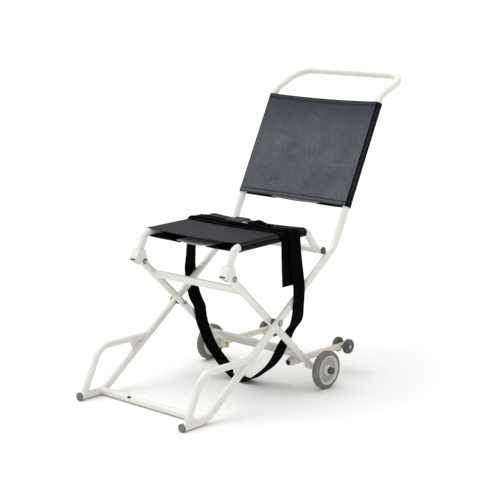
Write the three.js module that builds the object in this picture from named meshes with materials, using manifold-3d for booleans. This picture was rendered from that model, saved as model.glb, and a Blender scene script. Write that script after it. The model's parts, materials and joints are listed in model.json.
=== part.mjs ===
// A folding stair chair: two bent side tubes that run from the feet to the push handle, an inner wheel
// frame crossed through them like scissors, a sling seat that bridges the two, and a pair of trolley arms
// with small wheels that slide out behind the main wheels.
//
// Millimetres, +Z up, the sitter faces -Y, and the sitter's left is +X. Inside this file Y = 0 is the
// scissor pivot; the last lines move the whole chair so that its origin is the middle of its footprint.
import * as THREE from 'three';
import { mergeVertices } from 'three/addons/utils/BufferGeometryUtils.js';
import Module from 'manifold-3d';

const wasm = await Module();
wasm.setup();

// ---------------------------------------------------------------- driving dimensions
const TUBE_R = 11;                    // frame tube, 22 mm outside
const TUBE_WALL = 1.6;
const TUBE_SIDES = 10;                // facets round a tube
const GAP = 0.3;                      // left between pieces that touch
const FRAME_X = 205;                  // side tubes, from the middle of the chair
const LEG_X = 176;                    // wheel frame and seat rails
const FOOT_Z = 12;                    // height of the foot tubes and the foot crossbar
const FOOT_FRONT_Y = -392;            // front of the rubber foot caps
const PIVOT = { y: 0, z: 229 };       // scissor pivot
const BEND = { y: 254, z: 415.5 };    // where the side tubes turn up into the backrest
const CROWN = { y: 462, z: 842 };     // where they lean back into the handle
const HANDLE = { y: 588, z: 897.5 };    // handle bar
const AXLE = { y: 189, z: 57 };       // main wheels
const SEAT_PIVOT = { y: -166, z: 380.1 };
const RAIL_FRONT = { y: -150, z: 462 };
const RAIL_REAR = { y: 157, z: 469.5 };
const REAR_BAR = { y: 206.4, z: 408.3 };
const ARM = { x: 150, z: 78, front: 114, axle: 378 };
const WHEEL = { x: 234, radius: 57, width: 22, rim: 44 };
const SMALL_WHEEL = { offset: 20, radius: 23, width: 14 };
const SLING = { inner: 11.4, outer: 13.4, flap: 125 };
const BELT = { width: 50, thickness: 2, centre: 78, tail_centre: 50 };
const FOOTPRINT_MIDDLE_Y = (FOOT_FRONT_Y + HANDLE.y + TUBE_R) / 2;

const degrees = THREE.MathUtils.degToRad;
const side_angle = Math.atan2(BEND.z - PIVOT.z, BEND.y - PIVOT.y);
const back_angle = Math.atan2(CROWN.z - BEND.z, CROWN.y - BEND.y);
const leg_angle = Math.atan2(PIVOT.z - AXLE.z, AXLE.y - PIVOT.y);
const kink_y = PIVOT.y - (PIVOT.z - FOOT_Z) / Math.tan(side_angle);

// ---------------------------------------------------------------- materials
function finish(colour, roughness, metalness = 0) {
  return new THREE.MeshStandardMaterial({ color: colour, roughness, metalness });
}
const WHITE = finish(0xece9e3, 0.35);
const CREAM = finish(0xe2d8c0, 0.4);
const VINYL = finish(0x23272f, 0.55);
const TAN = finish(0xb9a284, 0.8);
const WEBBING = finish(0x0d0d0e, 0.9);
const RUBBER = finish(0x6c6a66, 0.85);
const CAP_GREY = finish(0x55565a, 0.6);
const HUB = finish(0xc9c8c4, 0.5);
const STEEL = finish(0xa8a9ab, 0.3, 1);
const BRASS = finish(0xb08d3c, 0.35, 1);
const BLACK_PLASTIC = finish(0x17181a, 0.5);

// ---------------------------------------------------------------- geometry helpers
const point = (x, y, z) => new THREE.Vector3(x, y, z);

/** Straight runs joined by round bends, with a station at each end of a run and along each bend. */
class BentPath extends THREE.Curve {
  constructor(corners, radii, steps_per_bend = 3) {
    super();
    this.stations = [corners[0]];
    for (let i = 1; i < corners.length - 1; i++) {
      const before = corners[i - 1].clone().sub(corners[i]).normalize();
      const after = corners[i + 1].clone().sub(corners[i]).normalize();
      const half = before.angleTo(after) / 2;
      const radius = radii[i - 1];
      const centre = corners[i].clone().add(
        before.clone().add(after).normalize().multiplyScalar(radius / Math.sin(half)));
      const start = corners[i].clone().addScaledVector(before, radius / Math.tan(half)).sub(centre);
      const axis = before.clone().cross(after).normalize();
      const turn = -(Math.PI - 2 * half);
      for (let k = 0; k <= steps_per_bend; k++) {
        this.stations.push(start.clone().applyAxisAngle(axis, turn * k / steps_per_bend).add(centre));
      }
    }
    this.stations.push(corners[corners.length - 1]);
  }

  getPoint(t, target = new THREE.Vector3()) {
    const last = this.stations.length - 1;
    const at = Math.min(Math.max(t, 0), 1) * last;
    const i = Math.min(Math.floor(at), last - 1);
    return target.copy(this.stations[i]).lerp(this.stations[i + 1], at - i);
  }

  getPointAt(u, target) { return this.getPoint(u, target); }

  getTangentAt(u, target = new THREE.Vector3()) {
    const last = this.stations.length - 1;
    const i = Math.round(u * last);
    const into = this.stations[Math.max(i, 1)].clone().sub(this.stations[Math.max(i, 1) - 1]).normalize();
    const out = this.stations[Math.min(i + 1, last)].clone().sub(this.stations[Math.min(i, last - 1)]);
    return target.copy(into).add(out.normalize()).normalize();
  }
}

function sweep(path, outer, inner = 0, sides = TUBE_SIDES) {
  const section = new THREE.Shape().absarc(0, 0, outer, 0, 2 * Math.PI, false);
  if (inner > 0) section.holes.push(new THREE.Path().absarc(0, 0, inner, 0, 2 * Math.PI, true));
  return new THREE.ExtrudeGeometry(section, {
    steps: path.stations.length - 1, extrudePath: path, curveSegments: sides / 2, bevelEnabled: false });
}

/** A round tube through corners, bent to the given radii. */
function tube(corners, radii = [], { outer = TUBE_R, wall = TUBE_WALL, sides = TUBE_SIDES } = {}) {
  return sweep(new BentPath(corners, radii), outer, wall > 0 ? outer - wall : 0, sides);
}

/** A bar along X between two X positions. */
function bar(x0, x1, at, outer = TUBE_R, wall = TUBE_WALL, sides = TUBE_SIDES) {
  return tube([point(x0, at.y, at.z), point(x1, at.y, at.z)], [], { outer, wall, sides });
}

/** A piece turned about an axis along X: the profile lists [x, radius] and ends on the axis or closes. */
function turned(profile, at, sides = 14) {
  const outline = profile.map(([x, radius]) => new THREE.Vector2(radius, x));
  const geometry = new THREE.LatheGeometry(outline, sides, Math.PI / sides);
  geometry.rotateZ(-Math.PI / 2);
  return outward(geometry.translate(0, at.y, at.z));
}

/** A flat outline of [y, z] corners, given thickness along X. */
function plate(outline, x0, x1) {
  const shape = new THREE.Shape(outline.map(([y, z]) => new THREE.Vector2(y, z)));
  const geometry = new THREE.ExtrudeGeometry(shape, { depth: x1 - x0, bevelEnabled: false });
  const turn = new THREE.Matrix4().makeBasis(point(0, 1, 0), point(0, 0, 1), point(1, 0, 0));
  return geometry.applyMatrix4(turn.setPosition(x0, 0, 0));
}

function box(x0, x1, y0, y1, z0, z1) {
  return new THREE.BoxGeometry(x1 - x0, y1 - y0, z1 - z0)
    .translate((x0 + x1) / 2, (y0 + y1) / 2, (z0 + z1) / 2);
}

/** The same geometry with every face turned to point outward. */
function outward(geometry) {
  const merged = bare(geometry);
  const position = merged.attributes.position;
  const index = merged.index.array;
  const corner = (i) => new THREE.Vector3().fromBufferAttribute(position, index[i]);
  let volume = 0;
  for (let i = 0; i < index.length; i += 3) volume += corner(i).dot(corner(i + 1).cross(corner(i + 2)));
  if (volume < 0) {
    for (let i = 0; i < index.length; i += 3) [index[i], index[i + 1]] = [index[i + 1], index[i]];
  }
  return merged;
}

/** A copy with positions only and shared vertices merged. */
function bare(geometry) {
  const copy = geometry.clone();
  for (const name of Object.keys(copy.attributes)) if (name !== 'position') copy.deleteAttribute(name);
  return mergeVertices(copy, 1e-4);
}

function solid(geometry) {
  const merged = bare(geometry);
  return new wasm.Manifold(new wasm.Mesh({
    numProp: 3,
    vertProperties: Float32Array.from(merged.attributes.position.array),
    triVerts: Uint32Array.from(merged.index.array),
  }));
}

function surface(manifold) {
  const mesh = manifold.getMesh();
  const geometry = new THREE.BufferGeometry();
  geometry.setAttribute('position', new THREE.BufferAttribute(mesh.vertProperties, 3));
  geometry.setIndex(new THREE.BufferAttribute(mesh.triVerts, 1));
  return geometry;
}

const cut = (geometry, ...tools) =>
  surface(tools.reduce((left, tool) => left.subtract(solid(tool)), solid(geometry)));
const join = (...geometries) => surface(geometries.map(solid).reduce((whole, next) => whole.add(next)));
const hole = (at, radius, x0, x1) => turned([[x0, 0], [x0, radius], [x1, radius], [x1, 0]], at, 14);

/** A thin band that follows [x, z] points, given width along Y. */
function band(points, thickness, y0, y1) {
  const along = points.map(([x, z]) => new THREE.Vector2(x, z));
  const left = [];
  const right = [];
  along.forEach((here, i) => {
    const before = along[Math.max(i - 1, 0)];
    const after = along[Math.min(i + 1, along.length - 1)];
    const direction = after.clone().sub(before).normalize();
    const normal = new THREE.Vector2(-direction.y, direction.x).multiplyScalar(thickness / 2);
    left.push(here.clone().add(normal));
    right.unshift(here.clone().sub(normal));
  });
  const geometry = new THREE.ExtrudeGeometry(new THREE.Shape([...left, ...right]),
    { depth: y1 - y0, bevelEnabled: false });
  return outward(geometry.rotateX(Math.PI / 2).translate(0, y1, 0));
}

// ---------------------------------------------------------------- assembly bookkeeping
const chair = new THREE.Group();

function piece(name, geometry, material) {
  const mesh = new THREE.Mesh(geometry, material);
  mesh.name = name;
  chair.add(mesh);
}

/** A left piece at +X and its mirror image on the right. */
function pair(name, geometry, material) {
  piece(`${name}_left`, geometry, material);
  piece(`${name}_right`, outward(geometry.clone().scale(-1, 1, 1)), material);
}

/** A point that lies a distance along a line from a start at an angle, both in the YZ plane. */
const along = (start, angle, distance) =>
  ({ y: start.y + distance * Math.cos(angle), z: start.z + distance * Math.sin(angle) });
const at_x = (x, where) => point(x, where.y, where.z);

// ---------------------------------------------------------------- outer frame
const PIVOT_BOLT_R = 4;
const FOOT_BEND_R = 80;
const BACK_BEND_R = 110;
const CROWN_BEND_R = 46;
const HANDLE_BEND_R = 58;
const SIDE_TUBE_UP_BACK = 415;                             // length of side tube above the bend
const back_joint = along(BEND, back_angle, SIDE_TUBE_UP_BACK);
const handle_start = along(BEND, back_angle, SIDE_TUBE_UP_BACK + GAP);

function outer_frame() {
  const side_tube = tube(
    [point(FRAME_X, FOOT_FRONT_Y + 3, FOOT_Z), point(FRAME_X, kink_y, FOOT_Z),
      at_x(FRAME_X, BEND), at_x(FRAME_X, back_joint)], [FOOT_BEND_R, BACK_BEND_R]);
  pair('long_tube', cut(side_tube, hole(PIVOT, PIVOT_BOLT_R + 0.4, FRAME_X - 20, FRAME_X + 20)), WHITE);

  const corners = [handle_start, CROWN, HANDLE].map((where) => at_x(FRAME_X, where));
  const mirrored = [HANDLE, CROWN, handle_start].map((where) => at_x(-FRAME_X, where));
  piece('push_handle', tube([...corners, ...mirrored],
    [CROWN_BEND_R, HANDLE_BEND_R, HANDLE_BEND_R, CROWN_BEND_R]), WHITE);

  const bar_end = FRAME_X - TUBE_R - GAP;
  piece('foot_crossbar', bar(-bar_end, bar_end, { y: -303, z: FOOT_Z }), WHITE);
  foot_loops();
  foot_caps();
}

/** The carry loops: each rises from the foot tube, leans back and meets the side tube, with a gusset. */
function foot_loops() {
  const LOOP_R = 10;
  const LOOP_TOP_Z = 144;
  const KNEE_BEND_R = 52;
  const foot = point(FRAME_X, -374, FOOT_Z);
  const knee = point(FRAME_X, -309, LOOP_TOP_Z);
  const joint = point(FRAME_X, -112, LOOP_TOP_Z);
  const loop = tube([foot, knee, joint], [KNEE_BEND_R], { outer: LOOP_R });
  const clearance = { outer: TUBE_R + 0.5, wall: 0 };
  const side_tube = tube([point(FRAME_X, FOOT_FRONT_Y, FOOT_Z), point(FRAME_X, kink_y, FOOT_Z),
    at_x(FRAME_X, BEND)], [FOOT_BEND_R], clearance);
  const gusset_x = [FRAME_X - 1.5, FRAME_X + 1.5];
  const gusset = plate([[-186, LOOP_TOP_Z - 8], [-186, LOOP_TOP_Z - 12], [-176, 113.5], [-150, 132],
    [-140, LOOP_TOP_Z - 8]], ...gusset_x);
  pair('foot_loop', cut(join(loop, gusset), side_tube), WHITE);
}

/** A rubber cup on the front end of each foot tube, with a flat underside that the chair stands on. */
function foot_caps() {
  const CAP_R = 13;
  const length = 10;
  const cup = turned([[0, 0], [0, CAP_R - 1.5], [1.5, CAP_R], [length, CAP_R], [length, TUBE_R + GAP],
    [2.6, TUBE_R + GAP], [2.6, 0]], { y: 0, z: 0 }, 16);
  cup.rotateZ(Math.PI / 2).translate(FRAME_X, FOOT_FRONT_Y, FOOT_Z);
  const floor = box(FRAME_X - 30, FRAME_X + 30, FOOT_FRONT_Y - 5, FOOT_FRONT_Y + 60, -20, 0);
  pair('foot_cap', cut(cup, floor), CAP_GREY);
}

/** Section of a sling: one layer across the front, round both tubes, and flaps part of the way behind. */
function sling_section(half_width) {
  const { inner, outer, flap } = SLING;
  const flap_end = half_width - flap;
  const quarter = Math.PI / 2;
  return new THREE.Shape()
    .moveTo(-flap_end, -outer).lineTo(-half_width, -outer)
    .absarc(-half_width, 0, outer, -quarter, quarter, true)
    .absarc(half_width, 0, outer, quarter, -quarter, true)
    .lineTo(flap_end, -outer).lineTo(flap_end, -inner)
    .absarc(half_width, 0, inner, -quarter, quarter, false)
    .absarc(-half_width, 0, inner, quarter, 3 * quarter, false)
    .lineTo(-flap_end, -inner);
}

/** Places something drawn across X with its front along the section's +Y, running down from a start. */
function drape(geometry, start, angle) {
  const front = point(0, -Math.sin(angle), Math.cos(angle));
  const down = point(0, -Math.cos(angle), -Math.sin(angle));
  return geometry.applyMatrix4(new THREE.Matrix4().makeBasis(point(1, 0, 0), front, down)
    .setPosition(0, start.y, start.z));
}

function sling(half_width, start, angle, length) {
  return drape(new THREE.ExtrudeGeometry(sling_section(half_width),
    { depth: length, curveSegments: 6, bevelEnabled: false }), start, angle);
}

/** The tan panel that joins the two flaps, tucked just inside them. */
function backing_panel(half_width, start, angle, length) {
  const half = half_width - SLING.flap + 14;
  return drape(box(-half, half, -SLING.inner + 0.4, -SLING.inner + 2, 2, length - 2), start, angle);
}

function backrest() {
  const length = 332;
  const top = along(BEND, back_angle, SIDE_TUBE_UP_BACK + 39.5);
  piece('backrest_sling', sling(FRAME_X, top, back_angle, length), VINYL);
  piece('backrest_panel', backing_panel(FRAME_X, top, back_angle, length), TAN);
}

// ---------------------------------------------------------------- wheel frame
const AXLE_R = 5;
const CROSSBARS = { front: 159, stay: -162.5, rear: -188.6 };   // along the legs, from the scissor pivot

function wheel_frame() {
  const span = Math.hypot(AXLE.y - SEAT_PIVOT.y, AXLE.z - SEAT_PIVOT.z);
  const capsule = [[-TUBE_R, 0]];
  for (const [centre, from] of [[0, 180], [span, 90]]) {
    for (let k = 0; k <= 3; k++) {
      const angle = degrees(from - k * 30);
      const radius = TUBE_R * Math.sin(angle);
      if (radius > 0.01 && !(centre === 0 && k === 0)) {
        capsule.push([centre + TUBE_R * Math.cos(angle), radius]);
      }
    }
  }
  capsule.push([span + TUBE_R, 0]);
  const to_leg = new THREE.Matrix4()
    .makeRotationX(-leg_angle)
    .multiply(new THREE.Matrix4().makeRotationZ(degrees(90)));
  const in_place = (geometry) => geometry.applyMatrix4(to_leg)
    .translate(LEG_X, SEAT_PIVOT.y, SEAT_PIVOT.z);
  const shell = in_place(turned(capsule, { y: 0, z: 0 }, TUBE_SIDES));
  const bore_r = TUBE_R - TUBE_WALL;
  const bore = in_place(turned([[14, 0], [14, bore_r], [span - 14, bore_r], [span - 14, 0]],
    { y: 0, z: 0 }, TUBE_SIDES));
  const across = [LEG_X - 20, LEG_X + 20];
  pair('rear_leg', cut(shell, bore, hole(PIVOT, PIVOT_BOLT_R + 0.4, ...across),
    hole(SEAT_PIVOT, SEAT_BOLT_R + 0.4, ...across), hole(AXLE, AXLE_R + 0.4, ...across)), WHITE);

  const bar_end = LEG_X - TUBE_R - GAP;
  piece('front_crossbar', bar(-bar_end, bar_end, on_leg(CROSSBARS.front)), WHITE);
  piece('rear_crossbar', bar(-bar_end, bar_end, on_leg(CROSSBARS.rear)), WHITE);
  piece('stay_rod', bar(-bar_end, bar_end, on_leg(CROSSBARS.stay), 6, 1.2), WHITE);
  pivot_bolts();
  stub_axles();
  arm_sleeves();
}

/** A point on the legs' centre line, measured from the scissor pivot towards the seat. */
function on_leg(distance) {
  return along(PIVOT, Math.PI - leg_angle, distance);
}

function pivot_bolts() {
  const outside = FRAME_X + TUBE_R + GAP;
  const inside = LEG_X - TUBE_R - GAP;
  pair('pivot_bolt', turned([[inside - 9, 0], [inside - 9, PIVOT_BOLT_R], [outside, PIVOT_BOLT_R],
    [outside, 8], [outside + 3, 7.2], [outside + 4.6, 4], [outside + 4.8, 0]], PIVOT), STEEL);
  const nut_outline = [...Array(6).keys()].map((k) => degrees(60 * k + 30))
    .map((angle) => [PIVOT.y + 7.5 * Math.cos(angle), PIVOT.z + 7.5 * Math.sin(angle)]);
  pair('pivot_nut', cut(plate(nut_outline, inside - 6, inside),
    hole(PIVOT, PIVOT_BOLT_R + 0.3, inside - 10, inside + 5)), STEEL);
  const washer = [LEG_X + TUBE_R + GAP, FRAME_X - TUBE_R - GAP];
  pair('pivot_washer', ring(washer[0], washer[1], PIVOT_BOLT_R + 0.4, 10, PIVOT), CAP_GREY);
}

function ring(x0, x1, inner, outer, at, sides = 14) {
  return turned([[x0, inner], [x0, outer], [x1, outer], [x1, inner], [x0, inner]], at, sides);
}

/** Each main wheel turns on a stub axle that is bolted through the end of its leg. */
function stub_axles() {
  const inner_end = LEG_X - TUBE_R - GAP;
  const hub_face = WHEEL.x + WHEEL.width / 2 + 3;
  pair('axle', turned([[inner_end - 5, 0], [inner_end - 5, 8], [inner_end, 8], [inner_end, AXLE_R],
    [hub_face + 6, AXLE_R], [hub_face + 6, 0]], AXLE), STEEL);
  pair('axle_spacer', ring(LEG_X + TUBE_R + GAP, WHEEL.x - WHEEL.width / 2 - 3, AXLE_R + 0.4, 9, AXLE),
    WHITE);
  pair('axle_cap', turned([[hub_face + 0.4, AXLE_R + 0.4], [hub_face + 0.4, 10.5], [hub_face + 10, 10.5],
    [hub_face + 12, 8.5], [hub_face + 12, 0], [hub_face + 6.4, 0], [hub_face + 6.4, AXLE_R + 0.4],
    [hub_face + 0.4, AXLE_R + 0.4]], AXLE), CAP_GREY);
}

/** Sleeves welded under the rear crossbar hold the trolley arms, each locked by a pull-out plunger. */
const ARM_R = 10;
const SLEEVE = { inner: 10.4, outer: 12.5, front: 129, rear: 181, plunger_y: 150 };

function arm_sleeves() {
  const { inner, outer, front, rear, plunger_y } = SLEEVE;
  const sleeve = tube([point(ARM.x, front, ARM.z), point(ARM.x, rear, ARM.z)], [],
    { outer, wall: 0, sides: 14 });
  const bore = tube([point(ARM.x, front - 5, ARM.z), point(ARM.x, rear + 5, ARM.z)], [],
    { outer: inner, wall: 0, sides: 14 });
  const plunger_at = { y: plunger_y, z: ARM.z };
  const boss_end = ARM.x - outer - 7;
  const boss = turned([[boss_end, 0], [boss_end, 6], [ARM.x - 11, 6], [ARM.x - 11, 0]], plunger_at, 14);
  pair('arm_sleeve', cut(join(sleeve, boss), bore, hole(plunger_at, 2.9, boss_end - 5, ARM.x)), WHITE);
  pair('lock_plunger', turned([[boss_end - 8, 0], [boss_end - 8, 4.2], [boss_end - 7, 5],
    [boss_end - GAP, 5], [boss_end - GAP, 2.5], [ARM.x - inner - 0.2, 2.5], [ARM.x - inner - 0.2, 0]],
  plunger_at, 12), BRASS);
}

// ---------------------------------------------------------------- wheels and trolley arms
function main_wheels() {
  const { x, radius, width, rim } = WHEEL;
  const half = width / 2;
  const WHEEL_SIDES = 24;
  const rolling = radius / Math.cos(Math.PI / WHEEL_SIDES);   // the tyre stands on one of its flats
  pair('main_tyre', turned([[x - half, rim + 0.3], [x - half, rim + 6], [x - half + 4, rolling - 2.2],
    [x - half + 7, rolling], [x + half - 7, rolling], [x + half - 4, rolling - 2.2], [x + half, rim + 6],
    [x + half, rim + 0.3], [x - half, rim + 0.3]], AXLE, WHEEL_SIDES), RUBBER);
  const web = 4;
  pair('main_hub', turned([[x - half - 2.6, AXLE_R + 0.5], [x - half - 2.6, 14], [x - web, 17],
    [x - web, rim - 5], [x - half + 1, rim - 3], [x - half + 1, rim - 0.2], [x + half - 1, rim - 0.2],
    [x + half - 1, rim - 3], [x + web, rim - 7], [x + web, 17], [x + half + 2.8, 14],
    [x + half + 2.8, AXLE_R + 0.5], [x - half - 2.6, AXLE_R + 0.5]], AXLE, WHEEL_SIDES), HUB);
}

function trolley_arms() {
  const rear = ARM.axle + 8;
  const PIN_R = 3;
  const arm = tube([point(ARM.x, ARM.front, ARM.z), point(ARM.x, rear, ARM.z)], [],
    { outer: ARM_R, wall: TUBE_WALL, sides: 14 });
  const stop_ring = cut(
    tube([point(ARM.x, 121, ARM.z), point(ARM.x, 127, ARM.z)], [], { outer: 12, wall: 0, sides: 14 }),
    tube([point(ARM.x, 120, ARM.z), point(ARM.x, 128, ARM.z)], [], { outer: 9, wall: 0, sides: 14 }));
  const wheel_axis = { y: ARM.axle, z: ARM.z };
  pair('trolley_arm', cut(join(arm, stop_ring), hole(wheel_axis, PIN_R + 0.4, ARM.x - 20, ARM.x + 20)),
    CREAM);

  const { offset, radius, width } = SMALL_WHEEL;
  const reach = offset + width / 2 + 1;
  const ends = [ARM.x - reach, ARM.x + reach];
  pair('small_axle', turned([[ends[0] - 2.5, 0], [ends[0] - 2.5, 5], [ends[0], 5.5], [ends[0], PIN_R],
    [ends[1], PIN_R], [ends[1], 5.5], [ends[1] + 2.5, 5], [ends[1] + 2.5, 0]], wheel_axis, 14), STEEL);
  for (const [place, x] of [['inner', ARM.x - offset], ['outer', ARM.x + offset]]) {
    const half = width / 2;
    pair(`small_wheel_${place}`, turned([[x - half, PIN_R + 0.5], [x - half, 9], [x - half + 2, 10],
      [x - half + 2, 16], [x - half, 18], [x - half + 2.5, radius], [x + half - 2.5, radius],
      [x + half, 18], [x + half - 2, 16], [x + half - 2, 10], [x + half, 9], [x + half, PIN_R + 0.5],
      [x - half, PIN_R + 0.5]], wheel_axis, 16), CAP_GREY);
  }
}

// ---------------------------------------------------------------- seat
const SEAT_BOLT_R = 3.5;
const post_angle = degrees(243.9);                          // front posts run down and a little forward
const rail_angle = Math.atan2(RAIL_REAR.z - RAIL_FRONT.z, RAIL_REAR.y - RAIL_FRONT.y);

function seat_frame() {
  const post_foot = along(RAIL_FRONT, post_angle, 58);
  const route = [post_foot, RAIL_FRONT, RAIL_REAR, REAR_BAR].map((where) => at_x(LEG_X, where));
  const rear_bar_space = bar(LEG_X - 40, LEG_X + 40, REAR_BAR, TUBE_R + 0.4, 0);
  pair('seat_rail', cut(tube(route, [22, 25]), rear_bar_space), WHITE);

  const bar_end = 200;
  piece('seat_rear_bar', bar(-bar_end, bar_end, REAR_BAR), WHITE);
  pair('rear_bar_cap', turned([[bar_end + GAP, 0], [bar_end + GAP, TUBE_R - 0.4],
    [bar_end + 3, TUBE_R - 0.4], [bar_end + 4, TUBE_R - 1.6], [bar_end + 4, 0]], REAR_BAR), CAP_GREY);
  seat_brackets();
  pair('seat_bolt', turned([[LEG_X - 16, 0], [LEG_X - 16, 6], [LEG_X - 14.1, 6], [LEG_X - 14.1, SEAT_BOLT_R],
    [LEG_X + 14.1, SEAT_BOLT_R], [LEG_X + 14.1, 6], [LEG_X + 15.6, 5.2], [LEG_X + 16, 0]],
  SEAT_PIVOT), STEEL);
}

/** A channel round the foot of each front post: two cheeks, a front web, open behind and below. */
function seat_brackets() {
  const outer_half = 13.7;
  const inner_half = 11.6;
  const web = 2.2;
  const toe = { y: -203, z: 385.5 };
  const brow = along(toe, post_angle + Math.PI, 37);
  const eye = [];
  for (let k = 0; k <= 8; k++) {
    const angle = degrees(55 - k * 22);
    eye.push([SEAT_PIVOT.y + 13 * Math.cos(angle), SEAT_PIVOT.z + 13 * Math.sin(angle)]);
  }
  const outline = [[toe.y, toe.z], [brow.y, brow.z], [-164, 415], ...eye];
  const behind_web = along(toe, post_angle + Math.PI / 2, web);
  const low = along(behind_web, post_angle, 60);
  const high = along(behind_web, post_angle + Math.PI, 120);
  const channel = plate([[low.y, low.z], [high.y, high.z], [-60, high.z], [-60, low.z]],
    LEG_X - inner_half, LEG_X + inner_half);
  pair('seat_bracket', cut(outward(plate(outline, LEG_X - outer_half, LEG_X + outer_half)), channel,
    hole(SEAT_PIVOT, SEAT_BOLT_R + 0.4, LEG_X - 30, LEG_X + 30)), WHITE);
}

function seat() {
  const rail_length = Math.hypot(RAIL_REAR.y - RAIL_FRONT.y, RAIL_REAR.z - RAIL_FRONT.z);
  const start = along(RAIL_REAR, rail_angle, -12);
  const length = rail_length - 26;
  piece('seat_sling', sling(LEG_X, start, rail_angle, length), VINYL);
  piece('seat_panel', backing_panel(LEG_X, start, rail_angle, length), TAN);
}

// ---------------------------------------------------------------- belt
/** Height of the sling's top face at a place along the seat. */
const seat_top = (y) => along(RAIL_FRONT, rail_angle, (y - RAIL_FRONT.y) / Math.cos(rail_angle)).z
  + SLING.outer / Math.cos(rail_angle);

function belt() {
  const { width, thickness, centre, tail_centre } = BELT;
  const [front, rear] = [centre - width / 2, centre + width / 2];
  const [tail_front, tail_rear] = [tail_centre - width / 2, tail_centre + width / 2];
  const edge = LEG_X + 2;

  // The free end of the belt lies across the seat, under the lap belt, and hangs down on the left.
  const low = seat_top(tail_rear) + 0.4 + thickness / 2;
  const tail = [[-edge, low], [edge + 1.5, low], [189, low - 5], [193, low - 16], [194.5, 440],
    [197.5, 380], [201, 328]];
  piece('belt_tail', band(tail, thickness, tail_front, tail_rear), WEBBING);

  const top = low + thickness + 0.6;
  piece('belt_lap', band([[-edge, top], [edge, top]], thickness, front, rear), WEBBING);

  // The spare belt hangs outside the side tubes, swings in under them and over the legs, and rests on the
  // floor between the wheels.
  const half_loop = [[edge + 2, top], [191.6, top - 4.4], [196.4, top - 16], [198.6, 440], [206, 380],
    [217.6, 330], [217.6, 252], [200, 226], [180, 209], [162, 197], [157, 165], [150, 137], [127, 90],
    [80, 40], [36, 9], [12, 3]];
  const other_half = half_loop.map(([x, z]) => [-x, z]).reverse();
  piece('belt_loop', band([...half_loop, ...other_half], thickness, front, rear), WEBBING);
  buckle(top + thickness / 2 + 0.4, centre);
}

/** A push-button buckle: a metal-faced frame, the tongue beside it, and the button in its window. */
function buckle(z, y) {
  const middle = -18;
  const body = { length: 58, width: 54, height: 10 };
  const button = { length: 18, width: 30, depth: 4 };
  const shell = box(middle - body.length / 2, middle + body.length / 2, y - body.width / 2,
    y + body.width / 2, z, z + body.height);
  const window = box(middle - 20 - GAP, middle - 20 + button.length + GAP, y - button.width / 2 - GAP,
    y + button.width / 2 + GAP, z + 3, z + body.height + 5);
  piece('buckle_frame', cut(shell, window), BLACK_PLASTIC);
  piece('buckle_button', box(middle - 20, middle - 20 + button.length, y - button.width / 2,
    y + button.width / 2, z + 3 + 3.5, z + body.height + 1), CAP_GREY);
  const tongue_start = middle + body.length / 2 + GAP;
  piece('buckle_tongue', box(tongue_start, tongue_start + 26, y - 25, y + 25, z + 2, z + 4.5), STEEL);
}

// ---------------------------------------------------------------- the whole chair
outer_frame();
backrest();
wheel_frame();
main_wheels();
trolley_arms();
seat_frame();
seat();
belt();
chair.position.y = -FOOTPRINT_MIDDLE_Y;

export default chair;
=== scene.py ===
"""Looks for the folding stair chair: bent tube frame, sling seat and back, wheels, trolley arms and belt.

Lengths in this file are millimetres, as in the CAD: x from the chair's middle to the sitter's left, y back
from the scissor pivot and z up from the floor. at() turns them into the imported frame's metres.
"""
import json
import math
import random

import bmesh
import bpy
import numpy as np
from mathutils import Matrix, Vector, noise


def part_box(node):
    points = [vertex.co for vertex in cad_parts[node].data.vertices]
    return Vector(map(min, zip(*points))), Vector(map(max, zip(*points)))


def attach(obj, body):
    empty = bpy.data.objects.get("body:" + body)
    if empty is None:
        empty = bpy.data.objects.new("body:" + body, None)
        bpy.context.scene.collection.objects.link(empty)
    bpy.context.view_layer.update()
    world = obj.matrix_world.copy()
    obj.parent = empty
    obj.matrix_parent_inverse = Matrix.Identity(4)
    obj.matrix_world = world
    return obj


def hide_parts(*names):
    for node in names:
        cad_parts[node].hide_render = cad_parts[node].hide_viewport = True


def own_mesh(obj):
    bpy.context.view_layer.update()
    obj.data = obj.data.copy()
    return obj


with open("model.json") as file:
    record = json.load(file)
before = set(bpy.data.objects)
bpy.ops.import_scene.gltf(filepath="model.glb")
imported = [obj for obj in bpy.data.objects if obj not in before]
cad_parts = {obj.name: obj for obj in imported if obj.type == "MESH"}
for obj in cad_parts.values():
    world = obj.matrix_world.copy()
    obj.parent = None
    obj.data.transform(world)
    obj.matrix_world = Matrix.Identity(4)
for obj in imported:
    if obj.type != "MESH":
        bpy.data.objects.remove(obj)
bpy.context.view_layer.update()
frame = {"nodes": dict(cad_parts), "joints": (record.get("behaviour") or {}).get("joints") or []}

random.seed(7)

# ---- driving dimensions, millimetres
TUBE_R = 11
FRAME_X = 205
LEG_X = 176
FOOT_Z = 12
FOOT_FRONT_Y = -392
PIVOT = (0, 229)
BEND = (254, 415.5)
CROWN = (462, 842)
HANDLE = (588, 897.5)
AXLE = (189, 57)
SEAT_PIVOT = (-166, 380.1)
RAIL_FRONT = (-150, 462)
RAIL_REAR = (157, 469.5)
REAR_BAR = (206.4, 408.3)
ARM_X, ARM_Z, ARM_FRONT, ARM_AXLE = 150, 78, 114, 378
WHEEL_X = 234
CROSSBAR_RUN, STAY_RUN, FRONT_BAR_RUN = -188.6, -162.5, 159    # from the pivot along a leg, forward up
SLING_R = 12.4                    # middle of the cloth where it wraps a tube
FLAP = 125                        # how far the cloth comes back behind, from each tube
BACK_TOP, BACK_LENGTH = 454.5, 332    # from the frame's bend to the backrest's upper edge, and its height
BELT_WIDTH = 50
LAP_Y, TAIL_Y = 80, 50            # middle of the lap belt and of the free end, front to back
SEAM = 5                          # from a tube's middle in to the groove beside it
HEM_STITCH = 12.2                 # from the cloth's ends in to the stitches of each hem
HEM_SHADE_LINE = 0.0125                 # and to the painted shade line beside them, metres
POST_ANGLE = math.radians(243.9)
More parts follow.
